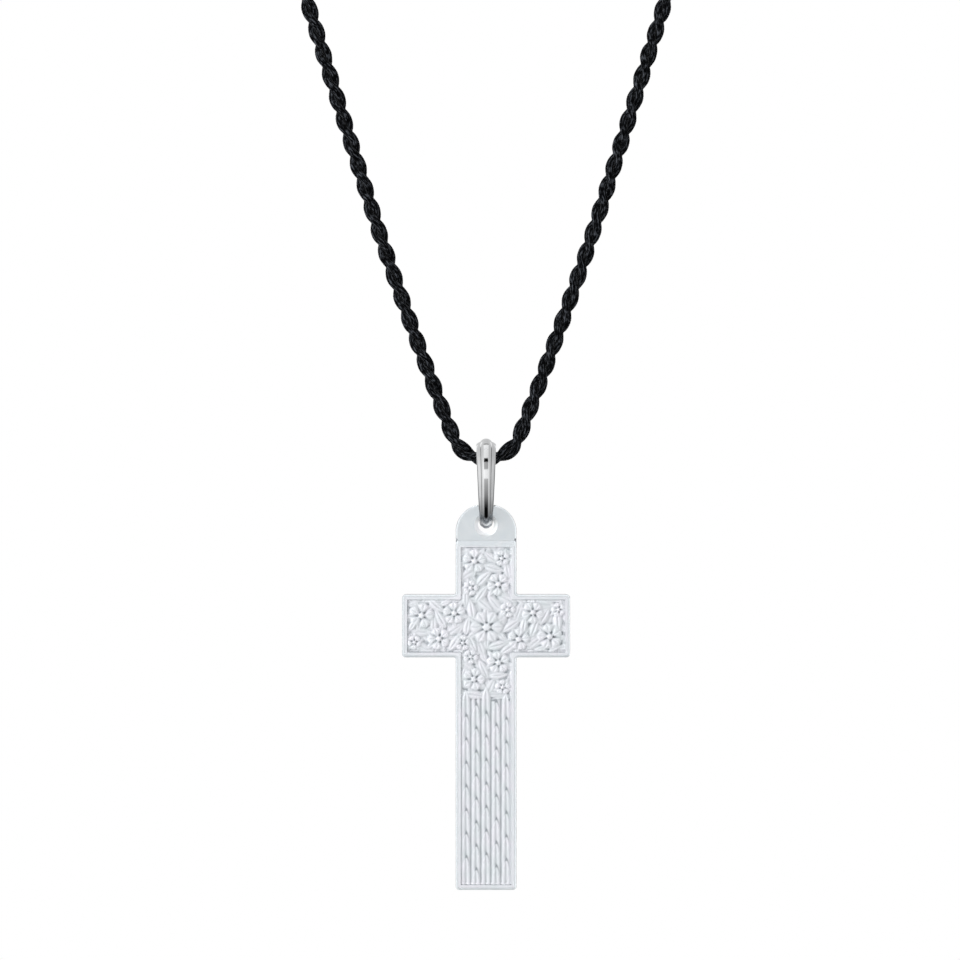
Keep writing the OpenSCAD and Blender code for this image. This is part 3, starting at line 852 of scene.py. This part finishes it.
# The border gets its plain tone, and the countersink is painted full white as painted light.
plain = np.where(points[:, 2] > relief_top, SINK_PAINTED_WHITE, BORDER_PROUD)
value = np.where(raised_points, np.minimum(proud[row, column] / RELIEF_H, MOST_PROUD), plain)
marks = cross.data.attributes.new("proud", "FLOAT", "POINT")
marks.data.foreach_set("value", value.astype(np.float32))
print("proud in tenths:", np.percentile(value[raised_points], range(0, 101, 10)).round(2))

# %% [markdown]
# The satin's own look is a fine frost that scatters the light, a little mist from one place to
# the next, and the shade in its hollows, which is painted into its colour.

# %% Satin crystal
# The painted shade and highlight of the satin: dark in the hollows, white on the tops.
PAINTED_SHADES = ((0, "8A8F93"), (0.12, "AFB3B7"), (0.3, "C5C8CB"), (0.5, "D7D9DC"), (0.8, "E7E8EB"),
          (1, "FFFFFF"))
SHADE_RANGE = 0.25

satin, tree, skin = finish("acid_satin_crystal", Transmission_Weight=0.3, IOR=CRYSTAL_IOR)
place = add(tree, "TexCoord").outputs["Object"]
# The painted shade that each point of the cross carries.
painted_shade_here = add(tree, "Attribute", attribute_name="proud").outputs["Fac"]
frost = noise(tree, place, 6 * PER_MM, 4, 0.7)
cloud = noise(tree, place, 0.45 * PER_MM, 3)
shade = span(tree, painted_shade_here, From_Min=-SHADE_RANGE, From_Max=SHADE_RANGE)
misty = ramp(tree, cloud, (0.35, "EEF2F3"), (0.65, "F8F6FA"))
coat(tree, skin,
     colour=multiplied(tree, ramp(tree, shade, *PAINTED_SHADES), misty),
     roughness=ramp(tree, shade, (0.3, 0.5), (0.8, 0.22)),
     normal=bumped(tree, frost, 0.15, 0.02))

# %% [markdown]
# Silver is the whitest metal and shows the studio like a mirror. Wear leaves a web of hairlines in
# it, too fine to see one by one, which only make the reflections a little softer in places. Low
# down, a band a little above the foot is drawn darker.

# %% Polished silver
FOOT_BAND_H = 4.5
# A band a little above the bail's foot is drawn darker, white again at the foot and higher up.
FOOT_DARK_BAND = ((0, "FFFFFF"), (0.18, "F0F0F0"), (0.32, "97999B"), (0.6, "CCCDCE"), (1, "FFFFFF"))
bail_foot = BAIL_Z - BAIL_H / 2

silver, tree, skin = finish("polished_sterling_silver", Metallic=1)
place = add(tree, "TexCoord").outputs["Object"]
hair = noise(tree, stretched(tree, place, (1, 0.12, 0.12)), 9 * PER_MM, 4, 0.6)
handled = noise(tree, place, 0.5 * PER_MM, 2)
up_the_bail = span(tree, add(tree, "SeparateXYZ", {"Vector": place}).outputs["Z"],
                   From_Min=bail_foot * MM, From_Max=(bail_foot + FOOT_BAND_H) * MM)
bright = ramp(tree, handled, (0.4, "E3E4E5"), (0.6, "EDEEEF"))
coat(tree, skin,
     colour=multiplied(tree, ramp(tree, up_the_bail, *FOOT_DARK_BAND), bright),
     roughness=ramp(tree, hair, (0.4, 0.05), (0.7, 0.13)),
     normal=bumped(tree, hair, 0.05, 0.01))

# %% [markdown]
# The clasp is turned on a lathe, so its fine lines run round its own axis, which is X.

# %% Turned silver
turned_silver, tree, skin = finish("lathe_turned_silver", Metallic=1)
place = add(tree, "TexCoord").outputs["Object"]
lines_round = noise(tree, stretched(tree, place, (1, 0.02, 0.02)), 14 * PER_MM, 3, 0.7)
coat(tree, skin,
     colour=ramp(tree, lines_round, (0.3, "D8D6D2"), (0.7, "EFEDEA")),
     roughness=ramp(tree, lines_round, (0.35, 0.16), (0.7, 0.3)),
     normal=bumped(tree, lines_round, 0.2, 0.02))

# %% [markdown]
# Silk floss is a bundle of hair-fine threads. The eye sees them as short grey streaks on black,
# where a thread turns its side to the light. Those glints are painted into the colour as
# highlights, and they run with the cord's own map.

# %% Black silk floss
silk, tree, skin = finish("black_silk_floss", Specular_IOR_Level=0.045)
threads = add(tree, "UVMap", uv_map="floss").outputs["UV"]
# The streaks give the threads' texture, and their grey glints are painted highlight in the colour.
threads_and_glints = noise(tree, stretched(tree, threads, (1.3, 4, 1)), 1, 4, 0.6)
coat(tree, skin,
     colour=ramp(tree, threads_and_glints, (0.44, "010102"), (0.52, "0B0C0E"), (0.62, "3E4146")),
     roughness=ramp(tree, threads_and_glints, (0.4, 0.75), (0.7, 0.42)),
     normal=bumped(tree, threads_and_glints, 0.8, 0.1))

# %% [markdown]
# The tab, the bevels, the sides and the back of the cross are polished. The acid has reached the
# relief, the flat border, the walls of the field and the countersink's cone in front, so those
# are satin. The cord is hidden from mirrors, because its image would draw two hard black lines
# across the bail's crown.

# %% Which finish goes where
LEVEL = 0.99


def dress(obj, *materials):
    """Gives a piece its materials in place of any empty slots that its cuts have left."""
    obj.data.materials.clear()
    for material in materials:
        obj.data.materials.append(material)


def is_satin(face):
    """Whether the acid has reached a face of the cross."""
    in_front = face.center.y / MM < floor_y + NEAR
    border_or_wall = in_front and (face.normal.y < -LEVEL or abs(face.normal.y) < SQUARE)
    cone = abs(face.normal.y + math.sqrt(0.5)) < NEAR
    return border_or_wall or cone or all(raised_points[k] for k in face.vertices)


dress(cross, polished, satin)
for face in cross.data.polygons:
    face.material_index = int(is_satin(face))
dress(bail, silver)
dress(silk_cord, silk)
silk_cord.visible_glossy = False
dress(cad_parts["clasp"], turned_silver)
print(sum(face.material_index for face in cross.data.polygons), "faces of the cross are satin")

# %% [markdown]
# ## Stage
#
# White on white, as jewellery is shown: a plain pale floor a little below the cross and a white
# tent all round, a little brighter on the left. Polished silver needs something dark to mirror, or
# it looks like plaster. So the front of the tent is open in a strip, from the dark table up to a
# gap over the camera, and a dark band runs down each side. Behind the cross the tent has a bright
# ring low down and a grey card in its middle, which the clear edges of the crystal gather. One
# soft lamp at the front left shapes the relief, and mirrors don't see it.

# %% Floor
FLOOR_Z, FLOOR_R = -300, 550
bpy.ops.mesh.primitive_circle_add(
    vertices=128, radius=FLOOR_R * MM, fill_type="NGON", location=(0, 0, FLOOR_Z * MM))
floor = newest("floor")
pale, tree, skin = finish("pale_plaster_floor", Roughness=0.85)
grain = noise(tree, add(tree, "TexCoord").outputs["Object"], 0.12 * PER_MM, 4)
tree.links.new(ramp(tree, grain, (0.3, "EDEDEB"), (0.7, "F4F4F2")), skin.inputs["Base Color"])
floor.data.materials.append(pale)
floor.visible_glossy = floor.visible_transmission = False

# %% [markdown]
# The tent is a formula of direction alone. Every mirror that is tipped up or down by one angle
# shows one line of the room, so `tilt` numbers those lines by the mirror that shows them: 0.25
# looks down at 45 degrees, 0.5 stands upright and 0.75 looks up at 45 degrees. `facing` does the
# same for mirrors that are turned to a side, from 0 edge-on to 1 straight ahead.

# %% Tent
# By tilt: the dark table, the lighter front, a bright pane, the gap over the camera and the roof.
OPENING = (
    (0.15, 0.004), (0.342, 0.006), (0.365, 0.05), (0.399, 0.16), (0.461, 0.35), (0.527, 0.48),
    (0.53, 0.95), (0.585, 0.95), (0.587, 0.42), (0.633, 0.42), (0.636, 0.004), (0.66, 0.004),
    (0.668, 0.9), (0.802, 1), (0.806, 0.35), (0.822, 0.35), (0.828, 0.66), (1, 0.68),
)
# By height, from straight down at 0 to straight up at 1.
TENT = ((0, 0.5), (0.25, 0.8), (0.45, 0.95), (0.75, 1.05), (0.9, 0.8), (1, 0.75))
CARD = ((0, 0.3), (0.15, 0.95), (0.3, 0.95), (0.4, 0.8), (0.6, 0.78), (0.65, 0.62), (1, 0.6))
# By facing: the dark bands down the two sides.
BANDS = ((0, 0.45), (0.16, 0.45), (0.19, 0.1), (0.4, 0.1), (0.47, 0.66), (0.8, 0.74), (0.88, 1.0))
# By how straight behind the cross a direction lies.
RING = ((0.8, 0.69), (0.85, 1.0), (0.91, 1.0), (0.935, 0.71), (0.97, 0.67))
RING_TOP, BANDS_END = 0.2, 0.75
STRIP_EDGE = ((0.54, 1.0), (0.62, 0.0))
# The strip grows no narrower once the square of the slope has reached this.
STRIP_LIMIT = 1.44
# A little over 1, so that nothing is divided by 0 straight behind the cross.
OVER_ONE = 1.0001
# Any direction in front of the cross, times this, is more than 1.
IN_FRONT = -1000
CARD_HALF_W, CARD_FROM = 0.22, 0.6
TENT_LIGHT, LEFT_LIGHT, RIGHT_LIGHT = 1.5, 1.15, 0.85

world = bpy.data.worlds.new("white_tent")
bpy.context.scene.world = world
world.use_nodes = True
tree = world.node_tree
tree.nodes.clear()
way = add(tree, "SeparateXYZ", {"Vector": add(tree, "TexCoord").outputs["Generated"]}).outputs


def sums(operation, *terms):
    """One step of arithmetic on outputs and plain numbers."""
    node = add(tree, "Math", operation=operation)
    for k, term in enumerate(terms):
        if isinstance(term, (int, float)):
            node.inputs[k].default_value = term
        else:
            tree.links.new(term, node.inputs[k])
    return node.outputs[0]


def mixed(share, first, second):
    """The first colour where the share is 0, and the second where it is 1."""
    node = add(tree, "Mix", data_type="RGBA")
    for k, output in ((0, share), (6, first), (7, second)):
        tree.links.new(output, node.inputs[k])
    return node.outputs[2]


slope = sums("DIVIDE", way["Z"], sums("SUBTRACT", OVER_ONE, way["Y"]))
steep = sums("MULTIPLY", slope, slope)
tilt = sums("ADD", sums("DIVIDE", sums("ARCTANGENT", slope), math.pi), 0.5)
level = span(tree, way["Z"], From_Min=-1)
sideways = sums("ABSOLUTE", way["X"])

# The strip lies in front of the cross, and runs on over the top of it.
stretch = sums("SQRT", sums("ADD", 1, sums("MINIMUM", steep, STRIP_LIMIT)))
narrow = ramp(tree, sums("MULTIPLY", sideways, stretch), *STRIP_EDGE)
ahead = sums("GREATER_THAN", sums("MAXIMUM", slope, sums("MULTIPLY", way["Y"], IN_FRONT)), 1)
in_strip = sums("MULTIPLY", narrow, ahead)

facing = sums("SUBTRACT", 0.5, sums("MULTIPLY", way["Y"], 0.5))
facing = sums("MULTIPLY", facing, sums("ADD", 1, steep))
facing = sums("MAXIMUM", facing, sums("GREATER_THAN", way["Y"], BANDS_END))
tent = multiplied(tree, ramp(tree, level, *TENT), ramp(tree, facing, *BANDS))

low_behind = sums("SUBTRACT", way["Y"], sums("GREATER_THAN", way["Z"], RING_TOP))
on_card = sums("MULTIPLY", sums("LESS_THAN", sideways, CARD_HALF_W),
               sums("GREATER_THAN", way["Y"], CARD_FROM))
room = mixed(in_strip, tent, ramp(tree, tilt, *OPENING))
room = mixed(on_card, room, ramp(tree, level, *CARD))
room = multiplied(tree, room, ramp(tree, low_behind, *RING))
slant = span(tree, way["X"], From_Min=-1, To_Min=LEFT_LIGHT, To_Max=RIGHT_LIGHT)

# The camera itself sees a white page and not the tent.
light = add(tree, "Background", {"Color": room, "Strength": sums("MULTIPLY", slant, TENT_LIGHT)})
page = add(tree, "Background", Color=(1, 1, 1, 1), Strength=1)
choose = add(tree, "MixShader", {"Fac": add(tree, "LightPath").outputs["Is Camera Ray"]})
tree.links.new(light.outputs[0], choose.inputs[1])
tree.links.new(page.outputs[0], choose.inputs[2])
add(tree, "OutputWorld", {"Surface": choose.outputs[0]})
bpy.context.scene.view_settings.view_transform = "Standard"
print("tent of", len(tree.nodes), "nodes")

# %% [markdown]
# The lamp is wide and stands near the pendant, so that the shadows in the relief stay soft. Its
# places and size are in metres and its power in watts.

# %% Lamp
KEY_AT, KEY_AIM = Vector((-0.55, -0.5, -0.1)), Vector((0, 0, -0.2))
KEY_SIZE, KEY_POWER = 0.6, 7
bpy.ops.object.light_add(type="AREA", location=KEY_AT)
key = bpy.context.object
key.name = "key"
key.data.size, key.data.energy = KEY_SIZE, KEY_POWER
key.rotation_euler = (KEY_AIM - KEY_AT).to_track_quat("-Z", "Y").to_euler()
key.visible_glossy = False
print("lamp of", KEY_POWER, "W")

# %% [markdown]
# The last step leaves nothing selected.

# %% Finish
deselect()
